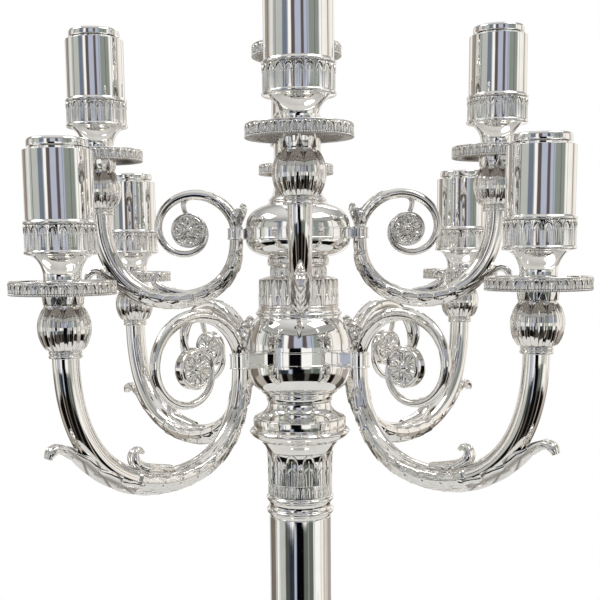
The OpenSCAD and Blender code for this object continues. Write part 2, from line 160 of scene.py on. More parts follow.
class Shell:
    """Closed surfaces gathered into one mesh. recess is 0 on open metal and 1 deep in the relief; the silver paints
    shade where it is high.
    """

    def __init__(self):
        self.points, self.recess, self.quads, self.tris, self.count = [], [], [], [], 0

    def grid(self, points, recess=None, wrap=False):
        """A grid of rows by columns. Columns close up; rows close up with wrap, or else get end caps."""
        rows, cols = points.shape[:2]
        index = np.arange(rows * cols).reshape(rows, cols) + self.count
        upper = np.roll(index, -1, 0) if wrap else index[1:]
        lower = index if wrap else index[:-1]
        self.quads.append(np.stack([lower, np.roll(lower, -1, 1), np.roll(upper, -1, 1), upper], -1).reshape(-1, 4))
        flat = points.reshape(-1, 3)
        dark = np.zeros(len(flat)) if recess is None else np.broadcast_to(recess, (rows, cols)).reshape(-1)
        if not wrap:
            ends = np.stack([points[0].mean(0), points[-1].mean(0)])
            first, last = self.count + len(flat), self.count + len(flat) + 1
            flat = np.vstack([flat, ends])
            dark = np.concatenate([dark, dark[:1], dark[-1:]])
            a, b = index[0], index[-1]
            self.tris.append(np.stack([np.full(cols, first), np.roll(a, -1), a], -1))
            self.tris.append(np.stack([np.full(cols, last), b, np.roll(b, -1)], -1))
        self.points.append(flat)
        self.recess.append(dark)
        self.count += len(flat)

    def lathe(self, outline, turns, relief=None, wrap=True):
        """Turns an outline that climbs its outside. relief(angle, z) gives height outward and recess."""
        outline = np.array(outline, float)
        angle = np.arange(turns) * TAU / turns
        if wrap:
            along = np.roll(outline, -1, 0) - np.roll(outline, 1, 0)
        else:
            along = np.gradient(outline, axis=0)
        along /= np.maximum(np.linalg.norm(along, axis=1, keepdims=True), 1e-9)
        r, z = outline[:, :1], outline[:, 1:]
        out, recess = relief(angle[None, :], z) if relief else (0.0, 0.0)
        r = r + out * along[:, 1:]
        z = z - out * along[:, :1]
        full = np.zeros((len(outline), turns))
        points = np.stack([(r + full) * np.cos(angle), (r + full) * np.sin(angle), z + full], -1)
        self.grid(points, full + recess, wrap)

    def sweep(self, line, radius, sides, relief=None):
        """A round bar along a line in the XZ plane. Angle 0 is on the right of its travel."""
        side = travel(line)[1]
        angle = np.arange(sides) * TAU / sides
        out, recess = relief(lengths(line)[:, None], angle[None, :]) if relief else (0.0, 0.0)
        far = radius[:, None] + out + np.zeros((len(line), sides))
        reach = far * np.cos(angle)
        points = np.stack([line[:, :1] + side[:, :1] * reach, far * np.sin(angle),
                           line[:, 1:] + side[:, 1:] * reach], -1)
        self.grid(points, np.zeros_like(far) + recess)

    def leaf(self, spine, half_width, bend_r, thick, lobes, side):
        """A thick leaf along a spine in the XZ plane, its edges bent round a bar of radius bend_r.
        side 1 puts its outer face on the right of its travel."""
        face = travel(spine)[1] * side
        share = np.linspace(0, 1, len(spine))
        tooth = (share * lobes) % 1
        half_width = half_width * (
            1 - 0.24 * ramp(tooth, 0.45, 1.0) * ramp(share, 0, 0.1) * (1 - ramp(share, 0.85, 1)))
        b = np.linspace(-1, 1, 31)
        psi = np.minimum(half_width / bend_r, 2.1)[:, None]
        fold = np.abs(np.sin((np.abs(b)[None, :] * 1.3 - share[:, None] * lobes) * math.pi))
        hollow = near(np.abs(b) - 0.52, 0.2)[None, :]
        rib = 0.7 * near(b, 0.09) + 0.55 * fold ** 0.6 - 0.8 * hollow
        wall = thick * np.sqrt(1.02 - b ** 2)[None, :]
        shrink = np.minimum(1, half_width / half_width.max() + 0.25)[:, None]
        outer = bend_r[:, None] + 0.5 * wall * shrink + rib * (1 - b ** 2) * shrink * 0.8
        inner = bend_r[:, None] - 0.5 * wall * shrink
        around = np.concatenate([b, b[::-1]])
        far = np.concatenate([outer, inner[:, ::-1]], 1)
        angle = psi * around[None, :] * side
        y = far * np.sin(angle)
        d = far * np.cos(angle) - bend_r[:, None]
        points = np.stack([spine[:, :1] + face[:, :1] * d, y, spine[:, 1:] + face[:, 1:] * d], -1)
        # The outer face's recess paints shade in the folds between lobes and in the hollows.
        self.grid(points, np.concatenate([np.maximum((1 - fold) ** 2, 0.75 * hollow), 0 * fold], 1))

    def add(self, other):
        """Takes in every surface of another shell."""
        self.quads += [q + self.count for q in other.quads]
        self.tris += [t + self.count for t in other.tris]
        self.points += other.points
        self.recess += other.recess
        self.count += other.count

    def moved(self, matrix):
        """Every surface so far, moved by a 4 by 4 matrix."""
        m = np.array(matrix, float)
        self.points = [p @ m[:3, :3].T + m[:3, 3] for p in self.points]
        return self

    def mesh(self, name, material, sharp=50):
        """One mesh of every surface, smooth but for edges sharper than an angle in degrees."""
        points = np.vstack(self.points) * MM
        tris = np.vstack(self.tris) if self.tris else np.zeros((0, 3), int)
        quads = np.vstack(self.quads)
        corners = np.concatenate([quads.ravel(), tris.ravel()])
        sizes = np.concatenate([np.full(len(quads), 4), np.full(len(tris), 3)])
        starts = np.concatenate([[0], np.cumsum(sizes)[:-1]])
        mesh = bpy.data.meshes.new(name)
        mesh.vertices.add(len(points))
        mesh.vertices.foreach_set("co", points.ravel())
        mesh.loops.add(len(corners))
        mesh.loops.foreach_set("vertex_index", corners.astype(np.int32))
        mesh.polygons.add(len(sizes))
        mesh.polygons.foreach_set("loop_start", starts.astype(np.int32))
        mesh.polygons.foreach_set("use_smooth", np.ones(len(sizes), bool))
        mesh.update(calc_edges=True)
        recess = mesh.attributes.new("recess", "FLOAT", "POINT")
        recess.data.foreach_set("value", np.concatenate(self.recess).astype(np.float32))
        mesh.set_sharp_from_angle(angle=math.radians(sharp))
        mesh.materials.append(material)
        return mesh


def turned(marks, turns=144, relief=None):
    """A shell holding one closed outline, its corners rounded, turned about Z."""
    shell = Shell()
    shell.lathe(rounded(marks), turns, relief)
    return shell


def place(mesh, name, body, node, at=None):
    """Shows a mesh as the piece that stands for a CAD node, riding on the node's body."""
    piece = bpy.data.objects.new(name, mesh)
    bpy.context.scene.collection.objects.link(piece)
    if at is not None:
        piece.matrix_world = at
    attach(piece, body)
    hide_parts(node)


# ---------------- materials

def feed(tree, node, inputs):
    """Gives each input of a node its value, or the socket that drives it."""
    for key, value in inputs.items():
        if isinstance(value, bpy.types.NodeSocket):
            tree.links.new(value, node.inputs[key])
        else:
            node.inputs[key].default_value = value


def add_node(tree, kind, inputs, **settings):
    """A shader node with its settings and inputs."""
    node = tree.nodes.new("ShaderNode" + kind)
    for key, value in settings.items():
        setattr(node, key, value)
    feed(tree, node, inputs)
    return node


def new_material(name):
    """A material, its tree, its main shader and the object's own coordinates."""
    material = bpy.data.materials.new(name)
    material.use_nodes = True
    tree = material.node_tree
    return material, tree, tree.nodes["Principled BSDF"], add_node(tree, "TexCoord", {}).outputs["Object"]


def noise(tree, coords, scale, detail, stretch=(1, 1, 1)):
    """A noise value over coordinates that are stretched along each axis."""
    mapped = add_node(tree, "Mapping", {"Vector": coords, "Scale": stretch})
    texture = add_node(tree, "TexNoise", {"Vector": mapped.outputs["Vector"], "Scale": scale, "Detail": detail})
    return texture.outputs["Fac"]


def spread(tree, value, low, high, from_low=0.3, from_high=0.7):
    """A value rescaled to run from low to high; noise mostly lies between 0.3 and 0.7."""
    node = add_node(tree, "MapRange", {
        "Value": value, "From Min": from_low, "From Max": from_high, "To Min": low, "To Max": high})
    return node.outputs["Result"]


def bump(tree, height, strength, distance, **inputs):
    """A normal tilted by a height in metres."""
    inputs.update(Height=height, Strength=strength, Distance=distance)
    return add_node(tree, "Bump", inputs).outputs["Normal"]


def colours(tree, value, *bands):
    """Colours along a value, told as (colour, place) or (colour, from, to); they blend across the gaps."""
    stops = [(at, colour) for colour, *places in bands for at in places]
    node = tree.nodes.new("ShaderNodeValToRGB")
    elements = node.color_ramp.elements
    while len(elements) < len(stops):
        elements.new(0.5)
    for element, (position, colour) in zip(elements, stops):
        element.position = position
        element.color = (*colour, 1)
    tree.links.new(value, node.inputs["Fac"])
    return node.outputs["Color"]


def blend_colour(tree, factor, a, b, mode="MIX"):
    """Colour a turning into colour b, or the product of both with MULTIPLY."""
    node = add_node(tree, "Mix", {}, data_type="RGBA", blend_type=mode)
    feed(tree, node, {"Factor": factor, "A": a, "B": b})
    return node.outputs["Result"]


def silver(name, bright, recess_shade, rough, wobble):
    """Polished silver plate: cloudy polish marks, a slight hammered wobble, and painted shade in the recesses, where
    the recess attribute darkens the colour and raises the roughness.
    """
    material, tree, shader, coords = new_material(name)
    recess = add_node(tree, "Attribute", {}, attribute_name="recess")
    cloud = noise(tree, coords, 90, 4)
    scratches = noise(tree, coords, 900, 3, (1, 1, 0.12))
    depth = spread(tree, recess.outputs["Fac"], 0, 1, 0.25, 1.0)
    tone = colours(tree, cloud, (tuple(0.94 * c for c in bright), 0.3), (bright, 0.7))
    polish = spread(tree, cloud, rough * 0.6, rough * 1.5)
    dull = add_node(tree, "Math", {0: depth, 1: 0.3, 2: polish}, operation="MULTIPLY_ADD")
    wavy = bump(tree, noise(tree, coords, 30, 1), 1.0, wobble)
    # Painted shade: the base colour turns toward the recess colour wherever the recess attribute is high.
    feed(tree, shader, {
        "Base Color": blend_colour(tree, depth, tone, (*recess_shade, 1)), "Metallic": 1.0,
        "Roughness": dull.outputs[0], "Normal": bump(tree, scratches, 0.08, 0.00002, Normal=wavy),
    })
    return material


def dull_metal(name, dark, light, rough):
    """Turned or cast metal with a fine grain."""
    material, tree, shader, coords = new_material(name)
    grain = noise(tree, coords, 400, 5)
    feed(tree, shader, {
        "Base Color": colours(tree, grain, (dark, 0.3), (light, 0.7)), "Metallic": 1.0,
        "Roughness": spread(tree, grain, rough * 0.8, rough * 1.2), "Normal": bump(tree, grain, 0.3, 0.0002),
    })
    return material


def felt(name):
    """Green cloth with short fibres."""
    material, tree, shader, coords = new_material(name)
    fibre = noise(tree, coords, 1500, 6)
    feed(tree, shader, {
        "Base Color": colours(tree, fibre, ((0.02, 0.08, 0.04), 0.3), ((0.06, 0.18, 0.10), 0.7)),
        "Roughness": 0.95, "Sheen Weight": 0.4, "Normal": bump(tree, fibre, 0.6, 0.0004),
    })
    return material


# The third colour of each silver is its painted shade in the recesses.
PLAIN = silver("plain_silver", (0.96, 0.95, 0.93), (0.30, 0.26, 0.22), 0.035, 0.00022)
CAST = silver("cast_silver", (0.95, 0.93, 0.90), (0.13, 0.105, 0.085), 0.06, 0.00010)
STEEL = dull_metal("turned_steel", (0.35, 0.35, 0.36), (0.6, 0.6, 0.61), 0.3)
IRON = dull_metal("rough_iron", (0.05, 0.05, 0.05), (0.14, 0.13, 0.13), 0.7)
FELT = felt("base_felt_cloth")


# ---------------- relief

def bay(angle, v, count):
    """Place in one of count repeats round a ring: offset and distance from its middle, and height from 0 to 1."""
    u = (angle * count / TAU) % 1 - 0.5
    return u, np.abs(u), unit(v) + 0 * u


def leaf_band(angle, v, count, depth, half, shape, dart, lean=0.0):
    """A row of upright round-topped leaves with darts between them; v runs from 0 at their feet to 1."""
    u, side, v = bay(angle, v, count)
    edge = half * dome(v, shape)
    inside = ramp(edge - side, -0.015, 0.03)
    rim = near(side - edge, 0.035)
    second = near(side - 0.62 * edge, 0.028) * inside
    rib = near(u, 0.022) * inside * ramp(0.93 - v, 0, 0.1)
    gap = 0.5 - side
    stem = near(gap, 0.55 * dart) * ramp(0.84 - v, 0, 0.05)
    ball = near(np.hypot(gap, (v - 0.86) * 0.45), dart * 0.8)
    between = np.maximum(stem * 0.8, ball) * (1 - inside)
    crown = inside * (0.25 * (1 - (side / np.maximum(edge, 0.02)) ** 2).clip(0, 1) + lean * ramp(v, 0.55, 1))
    out = depth * (crown - 0.55 * (1 - inside) + 0.5 * rim + 0.45 * rib - 0.32 * second + 0.75 * between)
    # recess marks painted shade between the leaves and along their inner line.
    recess = unit((1 - inside) * (1 - between) * (1 - rim) + 0.55 * second)
    return out, recess


def arcade(angle, v, count, depth):
    """Tall arched leaves side by side, each with a raised rim and a rib, with painted shade in the corners above them
    and, fainter, inside them.
    """
    _, side, v = bay(angle, v, count)
    top = 0.56 + 0.38 * dome(side / 0.44)
    inside = ramp(top - v, -0.015, 0.03) * ramp(0.44 - side, -0.01, 0.03)
    arch = near(v - top, 0.045) * ramp(0.45 - side, 0, 0.02) * ramp(v, 0.5, 0.6)
    post = near(side - 0.40, 0.045) * ramp(0.66 - v, 0, 0.08)
    rim = np.maximum(arch, post)
    lobe = near(side - 0.22, 0.05) * ramp(v, 0.05, 0.15) * ramp(0.78 - 0.5 * side - v, 0, 0.06)
    rib = near(side, 0.05) * ramp(v, 0.05, 0.15) * ramp(0.84 - v, 0, 0.08)
    drop = near(np.hypot((0.5 - side) * 0.8, (v - 0.84) * 0.5), 0.045)
    out = depth * (0.7 * rim + 0.4 * rib + 0.3 * lobe + 0.5 * drop - 0.35 * inside - 0.6 * (1 - inside) * (1 - rim))
    recess = unit((1 - inside) * (1 - rim) * (1 - drop) + 0.35 * inside * (1 - rim) * (1 - rib) * (1 - lobe))
    return out, recess


def tongue_band(angle, v, count, depth):
    """A row of narrow looped arches with a small dash between their tips."""
    _, side, v = bay(angle, v, count)
    edge = 0.33 * unit(1 - (v / 0.93) ** 2.6) ** 0.6
    inside = ramp(edge - side, -0.02, 0.04)
    crest = near(np.hypot(side * 1.4, (v - 0.93) * 1.1), 0.07)
    rim = np.maximum(near(side - edge, 0.06) * ramp(0.97 - v, 0, 0.06), crest)
    core = near(side, 0.07) * ramp(0.62 - v, 0, 0.25)
    dash = near(np.hypot((0.5 - side) * 0.75, (v - 0.80) * 1.6), 0.10)
    out = depth * (0.95 * rim + 0.35 * core - 0.25 * inside + 0.7 * dash)
    # recess marks painted shade inside the arches and, fainter, between them.
    recess = unit(0.55 * inside * (1 - rim) * (1 - core) + 0.3 * (1 - inside) * (1 - rim) * (1 - dash))
    return out, recess


def bead_band(angle, v, count, depth):
    """A row of round beads."""
    u = bay(angle, v, count)[0]
    ball = np.sqrt(unit(1 - (2.1 * u) ** 2 - (2 * v - 1) ** 2))
    # The second value marks painted shade round each bead.
    return depth * ball, 0.8 * (1 - ball) ** 2


def strip(shell, r_low, r_high, z_low, z_high, rows, fine, back, relief, count, **shape):
    """A thin ring of count repeats of a relief, on a wall from (r_low, z_low) to (r_high, z_high). It has rows
    points up, fine points along each repeat, and stands back into the wall."""
    v = np.linspace(0, 1, rows)
    face = np.stack([r_low + (r_high - r_low) * v, z_low + (z_high - z_low) * v], 1)
    outline = np.vstack([face, [[r_high - back, z_high], [r_low - back, z_low]]])

    def shaped(angle, z):
        share = (z - z_low) / (z_high - z_low)
        out, recess = relief(angle, share, count, **shape)
        on_face = np.ones_like(z)
        on_face[-2:] = 0
        return out * on_face, recess * on_face

    shell.lathe(outline, count * fine, shaped)


# ---------------- light holder

PAN_R = half_width("pan_top")
PAN_HALF = (level("pan_top")[1] - level("pan_top")[0]) / 2
PAN_Z = middle("pan_top")[2]
CUP_R = half_width("cup_top") - 1.6
CUP_TOP = level("cup_top")[1] - PAN_Z
INSERT_TOP = level("insert_top")[1] - PAN_Z
INSERT_LOW = level("insert_top")[0] - PAN_Z
BUD_LOW = level("bud_low_1")[0] - middle("pan_low_1")[2]
FLOOR_LOW, FLOOR_TOP = -0.5, 1.5  # of the pan, about its middle height
STUD_HOLE, ROD_HOLE = 3.1, 4.1
LIP_R = 17.0
BUD_LEAVES, BUD_PETALS = 9, 8


def pan_mesh():
    """Drip pan about its own centre: arches over a row of beads on its edge, and an underside that is rougher and
    darkened with painted shade.
    """
    r, h = PAN_R - 0.7, PAN_HALF
    shell = turned([
        (STUD_HOLE, FLOOR_TOP), (STUD_HOLE, FLOOR_LOW), (r - 9, FLOOR_LOW, 3), (r - 4, -h + 0.4, 2),
        (r - 1.2, -h, 0.5), (r + 0.1, -h, 0.4), (r + 0.1, -h + 1.3, 0.3), (r - 0.4, -h + 1.5),
        (r - 0.4, h - 0.9, 0.3), (r + 0.3, h - 0.7, 0.3), (r + 0.1, h, 0.4), (r - 2.4, h, 0.8), (r - 5, h - 1.6, 3),
        (r - 14, FLOOR_TOP, 6),
    # Recess 0.8 on everything below the floor's bottom: painted shade under the pan.
    ], 144, lambda a, z: (0 * a, 0.8 * (z < FLOOR_LOW + 0.1)))
    strip(shell, r - 0.1, r - 0.1, -h + 1.5, h - 0.9, 24, 26, 1.6, tongue_band, count=36, depth=0.6)
    strip(shell, r - 0.05, r - 0.05, -h + 0.05, -h + 1.35, 7, 8, 1.0, bead_band, count=150, depth=0.6)
    return shell.mesh("pan_shape", CAST, 70)


def cup_mesh():
    """Candle cup about its pan's centre: a funnel foot, a gallery of arches and a plain polished wall."""
    r, inner, top = CUP_R, CUP_R - 1.6, CUP_TOP
    funnel = bezier((11.5, 8), (12, 13), (14.5, 17.8), (18.6, 19.6), 12)
    shell = turned([
        (STUD_HOLE, 10.5), (STUD_HOLE, FLOOR_TOP), (13.4, FLOOR_TOP, 0.4), (13.5, 2.9, 0.5), (11.9, 4.3, 0.8),
        (11.5, 6), *funnel, (r + 0.4, 20.1, 0.6), (r + 1.5, 20.7, 0.5), (r + 1.5, 22.1, 0.4), (r + 0.5, 22.6, 0.3),
        (r + 0.3, 37.8, 0.3), (r + 0.8, 38.1, 0.3), (r + 1.4, 38.5, 0.4), (r + 1.4, 39.7, 0.4), (r + 0.3, 40.3, 0.3),
        (r, 40.9, 0.3), (r, top - 0.1, 0.3), (r - 0.5, top, 0.2), (LIP_R + 0.4, top, 0.3), (LIP_R, top - 0.4, 0.3),
        (LIP_R, top - 1.6, 0.3), (inner, top - 1.8, 0.6), (inner, 24, 1), (0.5, 24), (0.5, 10.5),
    ])
    strip(shell, r + 0.55, r + 0.65, 22.5, 38.1, 44, 36, 1.4, arcade, count=22, depth=0.75)
    return shell.mesh("cup_shape", PLAIN, 70)


def insert_mesh():
    """Candle insert about its pan's centre: a sleeve with the candle's bore, and a rim over the cup's lip."""
    top, sit, bore, depth = INSERT_TOP, CUP_TOP, 11.25, 27.0
    sleeve, neck, rim = LIP_R - 0.3, 16.8, 18.4
    return turned([
        (0.4, top - depth), (0.4, INSERT_LOW), (bore + 1.2, INSERT_LOW, 0.8), (bore + 2, INSERT_LOW + 1.2, 0.6),
        (bore + 2, sit - 8, 1.5), (sleeve, sit - 6, 0.8), (sleeve, sit), (neck, sit, 0.2), (neck, sit + 1.5, 0.2),
        (rim, sit + 2.1, 0.4), (rim, top - 1.6, 0.8), (rim - 0.5, top - 0.5, 0.5), (rim - 1.2, top, 0.5),
        (bore + 2.2, top, 0.8), (bore + 0.4, top - 1.2, 0.8), (bore, top - 3), (bore, top - depth, 0.8),
    ], 128).mesh("insert_shape", PLAIN)


def add_bud(shell, hole):
    """Adds a bud of overlapping leaves, with a fringe of petals under the pan and a hole down its middle."""
    low = BUD_LOW
    belly = np.vstack([
        bezier((9.5, -38.3), (12.4, -37.2), (15.7, -31), (15.7, -24), 22),
        bezier((15.7, -24), (15.7, -18.5), (12.9, -15), (12.1, -11.8), 18)[1:],
    ])
    ring = rounded([(STUD_HOLE, low), (10.3, low, 0.5), (10.4, low + 1.6, 0.6), (9.6, low + 2.2, 0.4),
                    (10.3, low + 2.9, 0.6), (10.1, low + 4.2, 0.5), (9.5, -38.5)], closed=False)
    neck = rounded([(11.9, -11.2), (11.9, -9.6, 0.5), (12.1, -7.0, 2), (12.9, FLOOR_LOW, 0.3)], closed=False)
    outline = np.vstack([ring, belly, neck, [[hole, FLOOR_LOW]]])
    outline[0, 0] = hole
    petal_low, petal_high = -11.4, FLOOR_LOW

    def shaped(angle, z):
        v = unit((z + 38.3) / 26.8)
        on = ramp(z, -38.4, -37.2) * ramp(-11.7 - z, 0, 1.2)
        u = bay(angle, v, BUD_LEAVES)[0]
        other = bay(angle + math.pi / BUD_LEAVES, v, BUD_LEAVES)[0]
        front = 0.50 * unit(1 - v ** 9) ** 0.5
        inside = ramp(front - np.abs(u), -0.03, 0.05)
        swell = (1 - (u / np.maximum(front, 0.05)) ** 2).clip(0, 1)
        rib = 0.45 * near(u, 0.03) + 0.28 * near(np.abs(u) - 0.5 * front, 0.035)
        back = near(other, 0.05) * 0.6
        leaf = inside * (0.1 + 0.55 * swell + rib * ramp(0.97 - v, 0, 0.1)) + (1 - inside) * (back - 0.45)
        # groove marks painted shade between the leaves and along their edges; the petals' gaps get it too.
        groove = unit((1 - inside) * (1 - back) + 0.5 * inside * near(np.abs(u) - front, 0.05))
        w = unit((z - petal_low) / (petal_high - petal_low))
        p = bay(angle, w, BUD_PETALS)[0]
        edge = 0.12 + 0.36 * dome(1 - w)
        petal = ramp(edge - np.abs(p), -0.04, 0.05)
        rim = near(np.abs(p) - edge, 0.05)
        on_petal = ramp(z, -10.6, -9.6) * ramp(-1.2 - z, 0, 0.6)
        fringe = petal * (0.15 + 0.5 * w + 0.35 * near(p, 0.05)) + 0.4 * rim - (1 - petal) * 0.45
        return on * leaf + on_petal * fringe, on * groove + on_petal * (1 - petal) * (1 - rim)

    shell.lathe(outline, 320, shaped)


def bud_mesh():
    """The bud under every pan but the top one, about the pan's centre."""
    shell = Shell()
    add_bud(shell, STUD_HOLE)
    return shell.mesh("bud_shape", CAST, 60)


def build_holders():
    """The pan, cup, insert and bud of every light."""
    pan, cup, insert, bud = pan_mesh(), cup_mesh(), insert_mesh(), bud_mesh()
    for tier in TIERS:
        at = Matrix.Translation(middle("pan_" + tier) * MM)
        place(pan, "drip_pan_" + tier, "branches", "pan_" + tier, at)
        place(cup, "candle_cup_" + tier, "branches", "cup_" + tier, at)
        place(insert, "candle_socket_" + tier, f"insert_{tier}_body", "insert_" + tier, at)
        if tier != "top":
            place(bud, "leaf_bud_" + tier, "branches", "bud_" + tier, at)


# ---------------- arms

def scales(length, angle, start, end, wrap, pitch, height):
    """Overlapping pointed leaves along the outer side of a bar, from start to end along its length."""
    signed = (angle + math.pi) % TAU - math.pi
    leaves_across = 3
    across = signed / wrap * leaves_across / 2
    on = ramp(wrap - np.abs(signed), 0, 0.25) * ramp(length, start, start + 4) * ramp(end - length, 0, 4)
    best = np.zeros(np.broadcast(length, angle).shape)
    groove = np.ones_like(best)
    for step in (0, 1):
        u = (across + 0.5 * step) % 1 - 0.5
        for shift in (0, 1):
            a = (((length - start) / pitch + 0.5 * step) % 1 + shift) / 1.6
            edge = 0.47 * dome(a, 3)
            inside = ramp(edge - np.abs(u), -0.02, 0.05)
            lift = inside * (0.25 + 0.6 * a + 0.25 * near(u, 0.05) - 0.15 * near(np.abs(u) - 0.5 * edge, 0.05))
            # groove marks painted shade round each leaf and along its inner lines.
            groove = np.where(lift > best, 1 - inside + 0.5 * near(np.abs(u) - 0.5 * edge, 0.04), groove)
            best = np.maximum(best, lift)
    return height * best * on, unit(groove) * on * 0.9


def veins(length, angle, size):
    """A curl wider across than deep, with grooves running along it."""
    # groove also marks painted shade in the grooves.
    groove = (1 - np.abs(np.sin(angle * 2 + 0.4 * np.sin(length * 0.3)))) ** 4
    return size * (1.3 * np.sin(angle) ** 2 - 0.5 * groove), 0.8 * groove


def spiral(eye, turns):
    """Line winding in about an eye, told as (angle in degrees, distance) marks."""
    marks = np.array(turns, float)
    t = np.linspace(0, len(marks) - 1, 40 * (len(marks) - 1) + 1)
    i = np.clip(t.astype(int), 0, len(marks) - 2)
    f = (t - i)[:, None]
    before = marks[np.maximum(i - 1, 0)]
    a, b = marks[i], marks[i + 1]
    after = marks[np.minimum(i + 2, len(marks) - 1)]
    p = 0.5 * (2 * a + (b - before) * f + (2 * before - 5 * a + 4 * b - after) * f ** 2
               + (3 * a - before - 3 * b + after) * f ** 3)
    angle = np.radians(p[:, 0])
    return np.stack([eye[0] + p[:, 1] * np.cos(angle), eye[1] + p[:, 1] * np.sin(angle)], 1)


BAR_STEP, VOLUTE_STEP = 0.75, 0.9
HUB_HALF = 2.4
LOW_ROOT, HIGH_ROOT = 60.5, 46.0  # distance of the arms' clasped ends from the column's axis
# shares of a leaf's or curl's length at which its plan gives widths and bends, or radii
SHEATH = ((0, 0.12, 0.5, 0.76, 0.9, 1), (0, 0.5, 0.76, 0.9, 1))
ACANTHUS = ((0, 0.2, 0.6, 0.85, 1), (0, 0.5, 1))
HORN, ROLL = (0, 0.5, 0.75, 1), (0, 0.4, 0.8, 1)


def arm_mesh(name, plan):
    """One arm in the XZ plane, with the column's axis at x 0."""
    shell = Shell()
    root, clasp, bottom, eye, k = (plan[key] for key in ("root", "clasp", "bottom", "eye", "scale"))
    bar = spaced(np.vstack([
        [[root, clasp[1] + 1], [root, clasp[0]]],
        bezier((root, clasp[0]), *plan["fall"], bottom, 60)[1:],
        bezier(bottom, *plan["rise"], (plan["reach"], plan["foot"]), 60)[1:],
    ]), BAR_STEP)
    total = BAR_STEP * (len(bar) - 1)
    radius = eased(bar, plan["bar_keys"], plan["bar_radii"])
    shell.sweep(bar, radius, 56, lambda s, a: scales(
        s, a, 0.10 * total, plan["scales_end"] * total, wrap=2.3, pitch=15 * k, height=1.8 * k))
    volute = np.vstack([[[root, clasp[1] - 3]], spaced(spiral(eye, plan["spiral"]), VOLUTE_STEP)])
    size = eased(volute, (0, 0.25, 0.5, 0.75, 1), plan["volute_radii"])
    run = VOLUTE_STEP * len(volute)
    shell.sweep(volute, size, 40, lambda s, a: scales(
        s, a + math.pi, 0.03 * run, 0.24 * run, wrap=2.2, pitch=9 * k, height=0.7 * k))
    tendril = spaced(bezier(*plan["tendril"], 40), 0.6)
    shell.sweep(tendril, eased(tendril, (0, 0.45, 1), (3.6 * k, 2.7 * k, 2.0 * k)), 24)
    hub = Shell()
    hub_r = plan["eye_r"] - 1.6
    hub.lathe([(0.01, -HUB_HALF), (hub_r, -HUB_HALF), (hub_r, HUB_HALF), (0.01, HUB_HALF)], 48, wrap=False)
    shell.add(hub.moved(Matrix.Translation((eye[0], 0, eye[1])) @ Matrix.Rotation(math.pi / 2, 4, "X")))
    for spine, (width_keys, bend_keys), widths, bends, side, lobes in plan["leaves"]:
        line = spaced(rounded([(*p, 8) for p in spine], closed=False, n=9), 0.7)
        share = np.linspace(0, 1, len(line))
        width = np.interp(share, width_keys, widths) * np.sqrt(np.clip(1.04 - share ** 8, 0.04, 1))
        shell.leaf(line, width, np.interp(share, bend_keys, bends), thick=1.5 * k, lobes=lobes, side=side)
    for spine, keys, radii in plan["curls"]:
        line = spaced(rounded([(*p, 6) for p in spine], closed=False, n=9), 0.4)
        shell.sweep(line, eased(line, keys, radii), 48, lambda s, a: veins(s, a, k))
    return shell.mesh(name, CAST, 60)


def low_plan():
    """Shape of a lower arm: distances from the column's axis, and heights."""
    reach = math.hypot(*middle("pan_low_1")[:2])
    return {
        "root": LOW_ROOT, "clasp": level("lower_band"), "foot": level("bud_low_1")[0], "reach": reach,
        "bottom": (128, 412.5), "scale": 1.0,
        "fall": ((LOW_ROOT, 440), (84, 412.5)), "rise": ((178, 412.5), (reach, 445)),
        "bar_keys": (0, 0.15, 0.42, 0.75, 1), "bar_radii": (5.6, 6.3, 7.7, 8.3, 8.4),
        "scales_end": 0.60,
        "eye": (102.8, 485.8), "eye_r": 14.5,
        "spiral": ((171, 42.8), (90, 36.3), (0, 34.0), (-90, 24.0), (-180, 14.6), (-228, 12.4)),
        "volute_radii": (5.3, 4.8, 3.7, 2.7, 2.1),
        "tendril": ((94, 521.5), (113, 521), (115, 511), (109.5, 500)),
        "leaves": [
            ([(116, 405.6), (128, 404.4), (150, 406.0), (168, 411.8), (182, 419.6), (192, 426.5), (201, 435.5),
              (208, 442.5), (214, 446.5), (219, 445), (221.5, 440.5)],
             SHEATH, (5, 11, 12.5, 11.5, 7, 2.8), (8.4, 8.6, 6.6, 4.6, 3.4), 1, 6),
            ([(58.5, 494), (55, 501), (52.5, 507), (52, 512), (54.5, 514.5), (57, 512.5)],
             ACANTHUS, (8, 13, 13.5, 11, 6), (6.5, 6.2, 5), -1, 4),
        ],
        "curls": [
            ([(126, 419), (140, 421), (150, 423), (156.5, 428.5), (157, 434.5), (152.5, 437), (149.5, 434)],
             HORN, (3.0, 4.3, 3.6, 1.2)),
            ([(204, 438.5), (210, 444), (215, 446), (219, 444.2), (221.2, 440)], ROLL, (1.4, 2.8, 3.3, 1.8)),
        ],
    }


